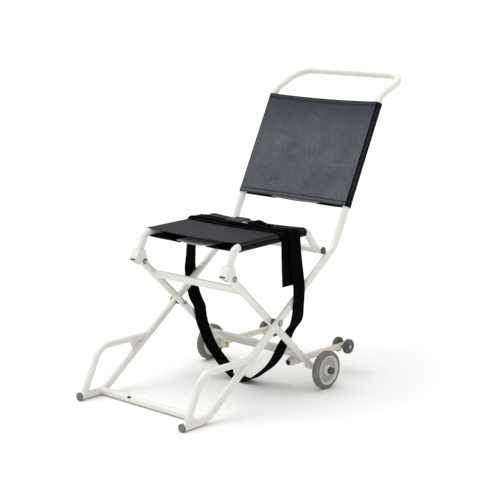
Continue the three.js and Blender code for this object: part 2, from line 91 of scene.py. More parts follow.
TUBE_JOINT = 415                  # from the bend up to where the push handle goes in

joints = {joint["name"]: joint for joint in frame["joints"]}
PIVOT_Y = joints["fold"]["pos_m"][1] * 1000
SIDES = (("left", 1), ("right", -1))
ACROSS, REAR, UP = Vector((1, 0, 0)), Vector((0, 1, 0)), Vector((0, 0, 1))


def at(x, y, z):
    """A point given in millimetres, in the frame's metres."""
    return Vector((x, y + PIVOT_Y, z)) / 1000


def along(start, angle, distance):
    """A (y, z) point at a distance from another along an angle in the YZ plane."""
    return (start[0] + distance * math.cos(angle), start[1] + distance * math.sin(angle))


def angle_of(a, b):
    return math.atan2(b[1] - a[1], b[0] - a[0])


side_angle = angle_of(PIVOT, BEND)
back_angle = angle_of(BEND, CROWN)
leg_angle = math.atan2(PIVOT[1] - AXLE[1], AXLE[0] - PIVOT[0])
rail_angle = angle_of(RAIL_FRONT, RAIL_REAR)
kink = (PIVOT[0] - (PIVOT[1] - FOOT_Z) / math.tan(side_angle), FOOT_Z)
tube_joint = along(BEND, back_angle, TUBE_JOINT)


def on_leg(distance):
    return along(PIVOT, math.pi - leg_angle, distance)


# ---- materials
class Shader:
    """A node material with a Principled shader and a few short ways to feed it."""

    def __init__(self, name, colour, roughness, metallic=0.0, coat=0.0, sheen=0.0):
        self.material = bpy.data.materials.new(name)
        self.material.use_nodes = True
        self.material.diffuse_color = (*colour, 1)
        self.tree = self.material.node_tree
        self.bsdf = self.tree.nodes["Principled BSDF"]
        self.set("Base Color", (*colour, 1))
        self.set("Roughness", roughness)
        self.set("Metallic", metallic)
        self.set("Coat Weight", coat)
        self.set("Sheen Weight", sheen)

    def set(self, socket, value):
        self.bsdf.inputs[socket].default_value = value

    def node(self, kind, settings=None, **inputs):
        made = self.tree.nodes.new("ShaderNode" + kind)
        for key, value in (settings or {}).items():
            setattr(made, key, value)
        for key, value in inputs.items():
            self.feed(made.inputs[key.replace("_", " ")], value)
        return made

    def feed(self, socket, value):
        if isinstance(value, bpy.types.NodeSocket):
            self.tree.links.new(value, socket)
        else:
            socket.default_value = value

    def place(self):
        return self.node("TexCoord").outputs["Object"]

    def cloth(self):
        return self.node("Attribute", {"attribute_name": "cloth"}).outputs["Vector"]

    def noise(self, vector, scale, detail=3.0, rough=0.5):
        return self.node("TexNoise", Vector=vector, Scale=scale, Detail=detail,
                         Roughness=rough).outputs["Fac"]

    def math(self, operation, a, b=0.0):
        made = self.node("Math", {"operation": operation})
        self.feed(made.inputs[0], a)
        self.feed(made.inputs[1], b)
        return made.outputs[0]

    def plus(self, a, b):
        return self.math("ADD", a, b)

    def times(self, a, b):
        return self.math("MULTIPLY", a, b)

    def span(self, value, low, high, to_low=0.0, to_high=1.0):
        made = self.node("MapRange")
        self.feed(made.inputs["Value"], value)
        for key, number in (("From Min", low), ("From Max", high), ("To Min", to_low), ("To Max", to_high)):
            made.inputs[key].default_value = number
        return made.outputs["Result"]

    def mix(self, factor, a, b):
        made = self.node("Mix", {"data_type": "RGBA"})
        self.feed(made.inputs[0], factor)
        self.feed(made.inputs[6], a if isinstance(a, bpy.types.NodeSocket) else (*a, 1))
        self.feed(made.inputs[7], b if isinstance(b, bpy.types.NodeSocket) else (*b, 1))
        return made.outputs[2]

    def bump(self, height, strength, distance, onto=None):
        made = self.node("Bump", Height=height, Strength=strength, Distance=distance)
        if onto is not None:
            self.feed(made.inputs["Normal"], onto)
        self.tree.links.new(made.outputs["Normal"], self.bsdf.inputs["Normal"])
        return made.outputs["Normal"]

    def link(self, output, socket):
        self.tree.links.new(output, self.bsdf.inputs[socket])


def dim(colour, share):
    return tuple(c * share for c in colour)


def powder_coat(name, colour, worn):
    """Sprayed and baked paint: fine orange peel, slight clouding, and dull scuffs."""
    shader = Shader(name, colour, 0.34, coat=0.15)
    place = shader.place()
    cloud = shader.span(shader.noise(place, 9.0), 0.35, 0.65)
    tone = shader.mix(cloud, colour, dim(colour, 0.95))
    scuff = shader.span(shader.noise(place, 70.0, 6.0, 0.7), 0.66, 0.74, 0.0, 0.55)
    shader.link(shader.mix(scuff, tone, worn), "Base Color")
    shader.link(shader.span(shader.noise(place, 40.0), 0.3, 0.7, 0.26, 0.42), "Roughness")
    peel = shader.bump(shader.noise(place, 520.0, 2.0), 0.09, 0.0004)
    shader.bump(scuff, 0.12, 0.0003, peel)
    return shader.material


def wave(shader, run, pitch):
    return shader.math("SINE", shader.times(run, 2 * math.pi / pitch))


def weave(shader, pitch):
    """Height of a plain weave, from 0 to 1, over the cloth's own coordinates."""
    parts = shader.node("SeparateXYZ", Vector=shader.cloth())
    warp, weft = (wave(shader, parts.outputs[axis], pitch) for axis in "XY")
    return shader.span(shader.times(warp, weft), -1.0, 1.0)


def coated_cloth(name, colour, dusty, gloss, length=0.3):
    """Vinyl-coated cloth: a faint weave, rubbed paler away from the top, and painted shade at the hems."""
    shader = Shader(name, colour, 0.5)
    shader.set("Specular IOR Level", gloss)
    cloth = shader.cloth()
    down = shader.node("SeparateXYZ", Vector=cloth).outputs["Y"]
    broad = shader.span(shader.noise(cloth, 9.0, 5.0, 0.6), 0.36, 0.68)
    fine = shader.span(shader.noise(cloth, 170.0, 3.0, 0.7), 0.3, 0.75)
    flecks = shader.span(shader.noise(cloth, 520.0, 2.0, 0.8), 0.35, 0.7)
    drawn = shader.node("Mapping", Vector=cloth, Scale=(1.0, 0.16, 1.0)).outputs["Vector"]
    streaks = shader.span(shader.noise(drawn, 260.0, 3.0, 0.7), 0.3, 0.72)
    rub = 0.0
    for pattern, share in ((broad, 0.22), (fine, 0.2), (flecks, 0.28), (streaks, 0.3)):
        rub = shader.plus(shader.times(pattern, share), rub)
    rub = shader.times(rub, shader.span(down, 0.0, 0.14, 0.2, 1.0))
    tone = shader.mix(rub, colour, dusty)
    # Painted shade at each hem: a dark line beside the stitches, where the hem's groove lies, and a dark rim
    # at the cloth's end.
    from_end = shader.math("MINIMUM", down, shader.math("SUBTRACT", length, down))
    from_line = shader.math("ABSOLUTE", shader.plus(from_end, -HEM_SHADE_LINE))
    line = shader.span(from_line, 0.0006, 0.0042, 0.8, 0.0)
    rim = shader.span(from_end, 0.0008, 0.0055, 0.85, 0.0)
    tone = shader.mix(shader.math("MAXIMUM", line, rim), tone, dim(colour, 0.3))
    threads = weave(shader, 0.0016)
    shader.link(shader.mix(shader.times(threads, 0.3), tone, dim(colour, 0.4)), "Base Color")
    shader.link(shader.span(rub, 0.1, 0.9, 0.40, 0.60), "Roughness")
    grain = shader.bump(threads, 0.35, 0.0003)
    shader.bump(shader.noise(cloth, 60.0, 4.0), 0.2, 0.0012, grain)
    return shader.material


def plain_cloth(name, colour):
    shader = Shader(name, colour, 0.9, sheen=0.25)
    cloth = shader.cloth()
    cloud = shader.span(shader.noise(cloth, 30.0, 4.0), 0.3, 0.7)
    threads = weave(shader, 0.0014)
    tone = shader.mix(cloud, colour, dim(colour, 0.82))
    shader.link(shader.mix(shader.times(threads, 0.35), tone, dim(colour, 0.6)), "Base Color")
    shader.bump(threads, 0.4, 0.0004)
    return shader.material


def webbing(name, colour):
    """Woven polyester tape: ribs across it, four faint bands along it."""
    shader = Shader(name, colour, 0.92)
    shader.set("Specular IOR Level", 0.03)
    parts = shader.node("SeparateXYZ", Vector=shader.cloth())
    across, length = parts.outputs["X"], parts.outputs["Y"]
    ribs = wave(shader, shader.plus(length, shader.times(across, 0.5)), 0.0019)
    bands = wave(shader, across, 0.0125)
    height = shader.span(shader.plus(ribs, shader.times(bands, 0.6)), -1.6, 1.6)
    fluff = shader.noise(shader.cloth(), 900.0, 2.0)
    shade = shader.times(height, shader.span(fluff, 0.3, 0.7, 0.5, 1.0))
    shader.link(shader.mix(shade, dim(colour, 0.45), dim(colour, 1.5)), "Base Color")
    shader.bump(height, 0.5, 0.0005)
    return shader.material


def moulded(name, colour, roughness, grain=0.1, dust=0.12):
    """Moulded plastic or rubber: fine grain, and dust that lies in patches."""
    shader = Shader(name, colour, roughness)
    place = shader.place()
    patch = shader.span(shader.noise(place, 45.0, 5.0, 0.65), 0.4, 0.75, 0.0, 1.0)
    pale = tuple(min(1.0, c + dust * (0.75 - c)) for c in colour)
    shader.link(shader.mix(patch, colour, pale), "Base Color")
    shader.link(shader.span(patch, 0.0, 1.0, roughness - 0.06, min(0.95, roughness + 0.1)), "Roughness")
    shader.bump(shader.noise(place, 1400.0, 2.0), grain, 0.0003)
    return shader.material


def metal(name, colour, roughness):
    """Turned or pressed metal: fine streaks and small stains."""
    shader = Shader(name, colour, roughness, metallic=1.0)
    place = shader.place()
    stretched = shader.node("Mapping", Vector=place, Scale=(6.0, 1.0, 1.0)).outputs["Vector"]
    lines = shader.noise(stretched, 260.0)
    stain = shader.span(shader.noise(place, 150.0, 4.0), 0.5, 0.75, 0.0, 0.6)
    shader.link(shader.mix(stain, colour, dim(colour, 0.6)), "Base Color")
    shader.link(shader.span(lines, 0.3, 0.7, roughness - 0.08, roughness + 0.12), "Roughness")
    shader.bump(lines, 0.08, 0.0002)
    return shader.material


WHITE = powder_coat("white_powder_coat", (0.80, 0.785, 0.74), (0.60, 0.58, 0.53))
CREAM = powder_coat("cream_powder_coat", (0.74, 0.69, 0.585), (0.50, 0.44, 0.34))
VINYL = coated_cloth("navy_coated_cloth", (0.020, 0.026, 0.036), (0.205, 0.222, 0.250), 0.14,
                     BACK_LENGTH / 1000)
# A darker copy of the navy cloth for the seat: painted shade for a surface seen at a grazing angle.
VINYL_SEAT_PAINTED_SHADE = coated_cloth("navy_seat_cloth_painted_shade", (0.008, 0.010, 0.014), (0.034, 0.037, 0.043), 0.08)
# A near-black copy of the navy cloth: painted shade on the turned sides of the wraps and on the flaps.
VINYL_PAINTED_SHADE = coated_cloth("navy_cloth_painted_shade", (0.002, 0.003, 0.005), (0.005, 0.006, 0.009), 0.05)
# A lighter copy of the navy cloth: a painted highlight strip across the side of each wrap.
VINYL_PAINTED_HIGHLIGHT = coated_cloth("navy_cloth_painted_highlight", (0.010, 0.012, 0.018), (0.030, 0.034, 0.046), 0.12)
TAN = plain_cloth("tan_cloth", (0.48, 0.42, 0.35))
THREAD = plain_cloth("dark_thread", (0.012, 0.015, 0.022))
BLACK_WEB = webbing("black_webbing", (0.0016, 0.0016, 0.0017))
TYRE = moulded("grey_tyre", (0.15, 0.145, 0.13), 0.75, 0.14)
# A darker copy of the hub plastic: painted shade in the hub's dish.
SHADED_HUB = moulded("hub_dish_painted_shade", (0.36, 0.35, 0.33), 0.6, 0.1, 0.25)
CASTOR = moulded("dark_castor", (0.075, 0.073, 0.068), 0.75, 0.2, 0.2)
HUB = moulded("pale_hub", (0.66, 0.64, 0.60), 0.5, 0.06, 0.1)
GREY = moulded("grey_cap", (0.055, 0.056, 0.06), 0.6, 0.1, 0.06)
BLACK_PLASTIC = moulded("black_plastic", (0.012, 0.012, 0.013), 0.42, 0.08, 0.05)
STEEL = metal("bright_steel", (0.46, 0.46, 0.47), 0.3)
BRASS = metal("brass", (0.62, 0.40, 0.14), 0.32)
# Near-black: painted shade that stands for holes, slots, gaps and the inside of open tubes.
PAINTED_SHADE = moulded("painted_shade_in_hollows", (0.02, 0.019, 0.018), 0.9, 0.05, 0.02)


# ---- mesh building
class Shape:
    """Vertices and faces gathered from several parts into one piece."""

    def __init__(self, *parts):
        self.verts, self.faces, self.marks, self.mark = [], [], [], 0
        for part in parts:
            self.add(part)

    def add(self, part):
        verts, faces = part
        base = len(self.verts)
        self.verts.extend(verts)
        self.faces.extend(tuple(base + i for i in face) for face in faces)
        self.marks.extend([self.mark] * len(faces))
        return self

    def material(self, index):
        """Faces added from now on take this material of the piece."""
        self.mark = index
        return self


def arc_route(corners, radii, fine=math.radians(4)):
    """Corner points joined by straight runs and round bends, as a list of points in metres."""
    route = [corners[0]]
    for before, corner, after, radius in zip(corners, corners[1:], corners[2:], radii):
        to_before = (before - corner).normalized()
        to_after = (after - corner).normalized()
        half = to_before.angle(to_after) / 2
        centre = corner + (to_before + to_after).normalized() * (radius / 1000 / math.sin(half))
        start = corner + to_before * (radius / 1000 / math.tan(half)) - centre
        turn = math.pi - 2 * half
        axis = to_before.cross(to_after).normalized()
        steps = max(6, round(turn / fine))
        for k in range(steps + 1):
            route.append(centre + Matrix.Rotation(-turn * k / steps, 3, axis) @ start)
    route.append(corners[-1])
    return route


def frames(route, closed=False):
    """Tangent and two side directions at each point of a route, without twist."""
    count = len(route)
    tangents = []
    for i in range(count):
        before = route[i - 1] if closed or i > 0 else route[0]
        after = route[(i + 1) % count] if closed or i < count - 1 else route[-1]
        tangents.append((after - before).normalized())
    guide = Vector((1, 0, 0)) if abs(tangents[0].x) < 0.9 else Vector((0, 0, 1))
    side = (guide - tangents[0] * guide.dot(tangents[0])).normalized()
    made = []
    for tangent in tangents:
        side = (side - tangent * side.dot(tangent)).normalized()
        made.append((tangent, side, tangent.cross(side)))
    return made


def circle(side, up, radius, count):
    """Offsets in metres to points spaced round a circle whose radius is in millimetres."""
    return [(side * math.cos(a) + up * math.sin(a)) * (radius / 1000)
            for a in (2 * math.pi * k / count for k in range(count))]


def sweep(route, radius, sides=36, closed=False, ends=("flat", "flat")):
    """A round bar along a route. An end is flat with a softened rim, or round."""
    radii = radius if isinstance(radius, (list, tuple)) else [radius] * len(route)
    directions = frames(route, closed)

    def end_rings(i, sign, style):
        tangent, side, up = directions[i]
        r = radii[i]
        steps = [(0.4, r - 0.4)]
        if style == "round":
            turns = [math.radians(degrees) for degrees in (12, 30, 50, 70, 85)]
            steps = [(r * math.sin(t), r * math.cos(t)) for t in turns]
        return [[route[i] + tangent * (sign * out / 1000) + p for p in circle(side, up, reach, sides)]
                for out, reach in steps]

    rings = [[centre + offset for offset in circle(side, up, r, sides)]
             for centre, (tangent, side, up), r in zip(route, directions, radii)]
    if not closed:
        rings = end_rings(0, -1, ends[0])[::-1] + rings + end_rings(-1, 1, ends[1])
    return skin(rings, closed)


def skin(rings, closed=False):
    """Quads between rings of equal length. Unless the rings close on themselves, each end has a face."""
    sides = len(rings[0])
    verts = [p for row in rings for p in row]
    faces = []
    last = len(rings) if closed else len(rings) - 1
    for i in range(last):
        j = (i + 1) % len(rings)
        for k in range(sides):
            m = (k + 1) % sides
            faces.append((i * sides + k, i * sides + m, j * sides + m, j * sides + k))
    if not closed:
        faces.append(tuple(reversed(range(sides))))
        faces.append(tuple(range((len(rings) - 1) * sides, len(rings) * sides)))
    return verts, faces


def lathe(profile, centre, axis, sides=48, closed=False):
    """A turned shape: profile lists (distance along the axis, radius) in millimetres from the centre."""
    guide = UP if abs(axis.z) < 0.9 else REAR
    side = axis.cross(guide).normalized()
    up = axis.cross(side)
    return skin([[centre + axis * (distance / 1000) + offset for offset in circle(side, up, radius, sides)]
                 for distance, radius in profile], closed)


def rounded(profile, radius=0.6, steps=3, closed=False):
    """A turned profile with each inner corner cut to a small round."""
    count = len(profile)
    made = []
    for i, corner in enumerate(profile):
        if not closed and i in (0, count - 1):
            made.append(corner)
            continue
        here = Vector((*corner, 0))
        before = Vector((*profile[i - 1], 0)) - here
        after = Vector((*profile[(i + 1) % count], 0)) - here
        reach = min(radius, before.length * 0.45, after.length * 0.45)
        if reach < 1e-4 or before.angle(after) > math.radians(172):
            made.append(corner)
            continue
        start = here + before.normalized() * reach
        end = here + after.normalized() * reach
        for k in range(steps + 1):
            t = k / steps
            p = start * (1 - t) ** 2 + here * (2 * t * (1 - t)) + end * t ** 2
            made.append((p.x, p.y))
    return made


def turned_ring(profile, rounding, centre, axis, sides=48):
    """A turned ring from a closed profile, its corners rounded."""
    return lathe(rounded(profile, rounding, closed=True), centre, axis, sides, closed=True)


def collar(near, far, inner, outer, rounding, centre, axis, sides=48):
    """A plain ring between two distances along an axis and two radii."""
    profile = [(near, inner), (near, outer), (far, outer), (far, inner)]
    return turned_ring(profile, rounding, centre, axis, sides)


def mirrored(profile):
    """A profile's points seen from the other end, in the order that carries it on."""
    return [(-distance, radius) for distance, radius in reversed(profile)]


def proud_slot(middle, run, rise, out, straight, end, high, wraps=0.0):
    """A slot with round ends. It starts inside a face, flat or of radius wraps, and stands proud of it."""
    rows = []
    for depth, grow in ((-0.8, 0.8), (0.3, 1.0), (0.4, 0.9)):
        row = []
        for k in range(32):
            a = 2 * math.pi * (k + 0.5) / 32
            reach = math.copysign(straight, math.cos(a)) + end * math.cos(a) * grow
            lift = high * math.sin(a) * grow
            bow = wraps - math.sqrt(wraps ** 2 - lift ** 2) if wraps else 0.0
            row.append(middle + (run * reach + rise * lift + out * (depth - bow)) / 1000)
        rows.append(row)
    return skin(rows)


def grid(rows, across):
    """Quads of a sheet whose rows have the same number of points."""
    return [(i * across + k, i * across + k + 1, (i + 1) * across + k + 1, (i + 1) * across + k)
            for i in range(rows - 1) for k in range(across - 1)]


def weld(centre, axis, radius, onto, onto_axis, onto_radius, bead=1.7):
    """A weld bead where a round bar meets the side of another, following the saddle between them."""
    side, up = frames([centre, centre + axis])[0][1:]
    route = []
    steps = 64
    for offset in circle(side, up, radius, steps):
        p = centre + offset
        gap = p - onto
        flat = gap - onto_axis * gap.dot(onto_axis)
        step = axis - onto_axis * axis.dot(onto_axis)
        b = flat.dot(step) / step.length_squared
        c = (flat.length_squared - (onto_radius / 1000) ** 2) / step.length_squared
        route.append(p + axis * (-b - math.sqrt(max(b * b - c, 0.0))))
    radii = [bead * (1 + 0.12 * math.sin(k * 1.9) + random.uniform(-0.06, 0.06)) for k in range(steps)]
    return sweep(route, radii, sides=10, closed=True)


def piece(name, shape, materials, body, nodes=(), sharp=38, cloth=None):
    """Makes a shape, or one part, into an object on a CAD body that stands for some CAD nodes."""
    if isinstance(shape, tuple):
        shape = Shape(shape)
    mesh = bpy.data.meshes.new(name)
    mesh.from_pydata([tuple(v) for v in shape.verts], [], shape.faces)
    mesh.validate()
    work = bmesh.new()
    work.from_mesh(mesh)
    bmesh.ops.recalc_face_normals(work, faces=work.faces)
    work.to_mesh(mesh)
    work.free()
    for material in materials if isinstance(materials, (list, tuple)) else [materials]:
        mesh.materials.append(material)
    if len(mesh.polygons) == len(shape.marks):
        mesh.polygons.foreach_set("material_index", shape.marks)
    mesh.shade_smooth()
    mesh.set_sharp_from_angle(angle=math.radians(sharp))
    if cloth is not None:
        attribute = mesh.attributes.new("cloth", "FLOAT_VECTOR", "POINT")
        attribute.data.foreach_set("vector", np.array(cloth, np.float32).ravel())
    made = bpy.data.objects.new(name, mesh)
    bpy.context.scene.collection.objects.link(made)
    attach(made, body)
    if nodes:
        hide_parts(*nodes)
    return made


# ---- outer frame
def x_bar(x, where, radius=TUBE_R):
    return sweep([at(-x, *where), at(x, *where)], radius)


def welded_bar(x, where, radius, onto_axis, bead=1.7):
    """A bar from side to side, with a weld bead where each end meets the tube that it runs into."""
    shape = Shape(x_bar(x, where, radius))
    for s in (1, -1):
        start, end = at(s * (x - 30), *where), at(s * x, *where)
        shape.add(weld(start, ACROSS * s, radius, end, onto_axis, TUBE_R, bead))
    return shape


def direction(angle):
    return Vector((0, math.cos(angle), math.sin(angle)))


def outer_frame():
    for side, s in SIDES:
        x = s * FRAME_X
        route = arc_route([at(x, FOOT_FRONT_Y + 3, FOOT_Z), at(x, *kink), at(x, *BEND), at(x, *tube_joint)],
                          [80, 110])
        piece(f"side_tube_{side}", sweep(route, TUBE_R, 40), WHITE, "long_frame",
              [f"long_tube_{side}"])
        foot_loop(side, s)
        cup = rounded([(0.4, 0), (0.4, 9.4), (0, 10), (0.1, 11.2), (0.8, 12), (6, 12), (6, 11.1)], 0.4)
        shape = Shape(lathe(cup, at(x, FOOT_FRONT_Y, FOOT_Z), REAR))
        piece(f"foot_cup_{side}", above_floor(shape), TYRE, "long_frame", [f"foot_cap_{side}"])

    half = [at(FRAME_X, *where) for where in (along(BEND, back_angle, TUBE_JOINT + 0.3), CROWN, HANDLE)]
    corners = half + [Vector((-p.x, p.y, p.z)) for p in reversed(half)]
    piece("handle_tube", sweep(arc_route(corners, [46, 58, 58, 46]), TUBE_R, 40), WHITE, "long_frame",
          ["push_handle"])
    foot_bar()


def above_floor(shape):
    shape.verts = [Vector((v.x, v.y, max(v.z, 0.0001))) for v in shape.verts]
    return shape


def foot_loop(side, s):
    x = s * FRAME_X
    foot, knee, joint = (-374, FOOT_Z), (-309, 144), (-112, 144)
    route = arc_route([at(x, *foot), at(x, *knee), at(x, *joint)], [52])
    shape = Shape(sweep(route, 10))
    up = direction(angle_of(foot, knee))
    shape.add(weld(at(x, *foot) + up * 0.03, -up, 10, at(x, *foot), REAR, TUBE_R))
    shape.add(weld(at(x, joint[0] - 40, joint[1]), REAR, 10, at(x, *PIVOT), direction(side_angle), TUBE_R))
    gusset = [(-187, 137), (-184, 121), (-176, 112), (-150, 131), (-139, 138)]
    shape.add(blade(gusset, x - 1.5, x + 1.5))
    piece(f"carry_loop_{side}", above_floor(shape), WHITE, "long_frame", [f"foot_loop_{side}"])
    # Dark discs in painted shade stand for a drain hole and a vent hole in the tube.
    drain = lathe([(-0.6, 0), (-0.6, 1.8), (0.35, 2.2), (0.35, 0)], at(x, -203, knee[1] - 10), -UP, 20)
    vent = lathe([(-1, 0), (-1, 1.6), (0.5, 1.9), (0.5, 0)], at(x - s * 6.9, -336, FOOT_Z + 8.3),
                 Vector((-s * 0.64, 0, 0.77)), 20)
    piece(f"loop_vents_{side}", Shape(drain, vent), PAINTED_SHADE, "long_frame")


def blade(outline, x0, x1, bevel=0.5):
    """A thin plate across X with softened edges."""
    count = len(outline)
    centre = (sum(p[0] for p in outline) / count, sum(p[1] for p in outline) / count)

    def row(x, inset):
        made = []
        for y, z in outline:
            reach = math.hypot(y - centre[0], z - centre[1])
            k = (reach - inset) / reach
            made.append(at(x, centre[0] + (y - centre[0]) * k, centre[1] + (z - centre[1]) * k))
        return made

    return skin([row(x0, bevel), row(x0 + bevel, 0), row(x1 - bevel, 0), row(x1, bevel)])


def foot_bar():
    where = (-303, FOOT_Z)
    shape = welded_bar(FRAME_X, where, TUBE_R, REAR)
    piece("foot_bar", above_floor(shape), WHITE, "long_frame", ["foot_crossbar"])
    # A dark slot in painted shade stands for the hole in the bar.
    face = direction(math.radians(140))
    middle = at(-81, *where) + face * (TUBE_R / 1000)
    piece("foot_bar_slot", proud_slot(middle, ACROSS, face.cross(ACROSS), face, 3.6, 3.6, 3.4, TUBE_R), PAINTED_SHADE,
          "long_frame")


# ---- wheel frame
def wheel_frame():
    leg_axis = direction(math.pi - leg_angle)
    for side, s in SIDES:
        x = s * LEG_X
        leg = sweep([at(x, *AXLE), at(x, *SEAT_PIVOT)], TUBE_R, 40, ends=("round", "round"))
        piece(f"leg_{side}", leg, WHITE, "wheel_frame", [f"rear_leg_{side}"])
    bars = (("front_bar", "front_crossbar", FRONT_BAR_RUN, TUBE_R, 1.7),
            ("rear_bar", "rear_crossbar", CROSSBAR_RUN, TUBE_R, 1.7),
            ("thin_stay", "stay_rod", STAY_RUN, 6, 1.2))
    for name, node, distance, radius, bead in bars:
        shape = welded_bar(LEG_X, on_leg(distance), radius, leg_axis, bead)
        piece(name, shape, WHITE, "wheel_frame", [node])
    for side, s in SIDES:
        pivot_bolt(side, s)
        stub_axle(side, s)
        sleeve(side, s)


def dome_bolt(inner, outer, radius, head_r, head_h):
    """Profile of a bolt from its inner end to a domed head with a shallow drive recess."""
    dome = [(outer + head_h * math.sin(t), head_r * math.cos(t) ** 0.7)
            for t in (math.radians(d) for d in (8, 25, 42, 56))]
    return [(inner, 0), (inner, radius - 0.6), (inner + 0.6, radius), (outer, radius), (outer, head_r),
            *dome, (outer + head_h, head_r * 0.46), (outer + head_h - 1.4, head_r * 0.40),
            (outer + head_h - 1.4, 0)]


def pivot_bolt(side, s):
    centre = at(0, *PIVOT)
    axis = ACROSS * s
    profile = dome_bolt(155.7, 216.6, 4, 8, 4.6)
    threads = [(155.9 + 0.5 * k, 4 - 0.35 * (k % 2)) for k in range(7)]
    shape = Shape(lathe(profile[:2] + threads + profile[3:], centre, axis))
    shape.material(1).add(collar(216.1, 217.2, 4.2, 9.4, 0.3, centre, axis))
    piece(f"scissor_bolt_{side}", shape, [STEEL, GREY], "long_frame", [f"pivot_bolt_{side}"])
    rows = []
    for distance, r in ((159.2, 6.3), (160.0, 7.1), (164.5, 7.1), (164.9, 6.8)):
        row = []
        for k in range(60):
            a = 2 * math.pi * k / 60
            hexagon = 6.4 / math.cos((a + math.pi / 6) % (math.pi / 3) - math.pi / 6)
            row.append(centre + (axis * distance + direction(a) * min(hexagon, r)) / 1000)
        rows.append(row)
    insert = rounded([(159.4, 4.2), (157.6, 4.3), (157.2, 5.2), (159.6, 6.2), (159.6, 4.2)], 0.4)
    nut = Shape(skin(rows)).material(1).add(lathe(insert, centre, axis, 40))
    piece(f"scissor_nut_{side}", nut, [STEEL, BLACK_PLASTIC], "long_frame", [f"pivot_nut_{side}"])
    piece(f"scissor_washer_{side}", collar(187.3, 193.7, 4.4, 10, 0.7, centre, axis), GREY, "long_frame",
          [f"pivot_washer_{side}"])


def stub_axle(side, s):
    centre = at(0, *AXLE)
    axis = ACROSS * s
    shaft = rounded([(159.6, 0), (159.6, 7.6), (160.2, 8), (164.6, 8), (164.6, 5), (254, 5), (254, 0)], 0.5)
    piece(f"stub_axle_{side}", lathe(shaft, centre, axis, 40), STEEL, "wheel_frame",
          [f"axle_{side}"])
    piece(f"axle_tube_{side}", collar(187, 220, 5.4, 9, 0.7, centre, axis), WHITE, "wheel_frame",
          [f"axle_spacer_{side}"])
    cap = rounded([(248.4, 5.4), (248.4, 10.6), (249.4, 10.9), (250.4, 10.5), (258.4, 10.3), (260, 8.8),
                   (260, 6.4), (259.2, 6.0), (259.2, 0)], 0.7)
    piece(f"axle_end_{side}", lathe(cap, centre, axis), GREY, "wheel_frame", [f"axle_cap_{side}"])


def sleeve(side, s):
    """The short outer tube that holds a trolley arm, with its plunger boss and the weld to the crossbar."""
    front, rear, outer, plunger_y = 129, 181, 12.5, 150
    inboard = ACROSS * -s
    shape = Shape(collar(front, rear, 10.4, outer, 0.7, at(s * ARM_X, 0, ARM_Z), REAR))
    boss_at = at(s * ARM_X, plunger_y, ARM_Z)
    boss = [(11, 2.9), (11, 6.6), (13, 6), (19.5, 6), (19.5, 2.9)]
    shape.add(turned_ring(boss, 0.6, boss_at, inboard, 36))
    bar_y = on_leg(CROSSBAR_RUN)[0]
    for edge in (-6, 6):
        route = []
        for k in range(-6, 7):
            reach = 1.25 * k
            lift = math.sqrt(outer ** 2 - reach ** 2) + 0.2 + 0.02 * (6 - abs(k))
            route.append(at(s * ARM_X + reach, bar_y + edge, ARM_Z + lift))
        shape.add(sweep(route, 1.9, 10, ends=("round", "round")))
    piece(f"arm_tube_sleeve_{side}", shape, WHITE, "wheel_frame", [f"arm_sleeve_{side}"])
    # A dark slot in painted shade stands for the opening in the sleeve.
    turn = math.radians(28)
    middle = at(s * (ARM_X - outer * math.cos(turn)), 168, ARM_Z + outer * math.sin(turn))
    piece(f"sleeve_slot_{side}", proud_slot(middle, REAR, UP, inboard, 3, 1.6, 1.7), PAINTED_SHADE, "wheel_frame")
    knob = rounded([(10.6, 0), (10.6, 2.5), (19.8, 2.5), (19.8, 4.8), (21.5, 5), (22.3, 4.2), (23.4, 4.2),
                    (24.2, 5), (26.8, 5), (27.5, 4.2), (27.5, 0)], 0.4)
    piece(f"plunger_knob_{side}", lathe(knob, boss_at, inboard, 36), BRASS, f"plunger_{side}",
          [f"lock_plunger_{side}"])


# ---- wheels and trolley arms
def main_wheels():
    tread = [(-11, 44.3), (-11, 49), (-10.6, 51.4), (-9.2, 54.2), (-6.6, 56.3), (-3, 56.9), (-2.6, 56.6),
             (-2.2, 56.95)]
    tyre = [*tread, (0, 57), *mirrored(tread[1:]), (11.0, 47.4), (10.5, 46.8), (10.9, 46.2), (10.9, 44.3)]
    hub = [(-13.6, 5.5), (-13.6, 12), (-12.8, 13.6), (-5.2, 17.5), (-4.4, 24), (-4.8, 37.5), (-9.4, 40.4),
           (-10.4, 41.4), (-10.4, 43.9), (10.6, 43.9), (11.4, 43.1), (11.6, 41.8), (11.0, 40.6), (7.6, 39.6),
           (5.0, 36.5), (3.0, 28), (3.4, 20.5), (5.6, 17.0), (12.4, 14.6), (13.8, 13.4), (13.8, 5.5)]
    hub = rounded(hub, 1.2, closed=True)
    # Faces in the dish take the darker copy: painted shade in the recess.
    painted_shade_faces = [x > 0 and 18 < radius < 38.6 for x, radius in hub]
    sides = 128
    for side, s in SIDES:
        centre = at(s * WHEEL_X, *AXLE)
        axis = ACROSS * s
        body = f"main_wheel_{side}"
        piece(f"tyre_{side}", turned_ring(tyre, 0.7, centre, axis, sides), TYRE, body,
              [f"main_tyre_{side}"], sharp=50)
        shape = Shape(lathe(hub, centre, axis, sides, closed=True))
        shape.marks = [int(painted_shade_faces[i // sides]) for i in range(len(shape.faces))]
        piece(f"hub_{side}", shape, [HUB, SHADED_HUB], body, [f"main_hub_{side}"], sharp=50)
        # A dark ring in painted shade fills the gap between tyre and hub.
        piece(f"rim_gap_{side}", collar(-11.5, 10.7, 43.7, 44.4, 0.1, centre, axis, 96), PAINTED_SHADE, body)


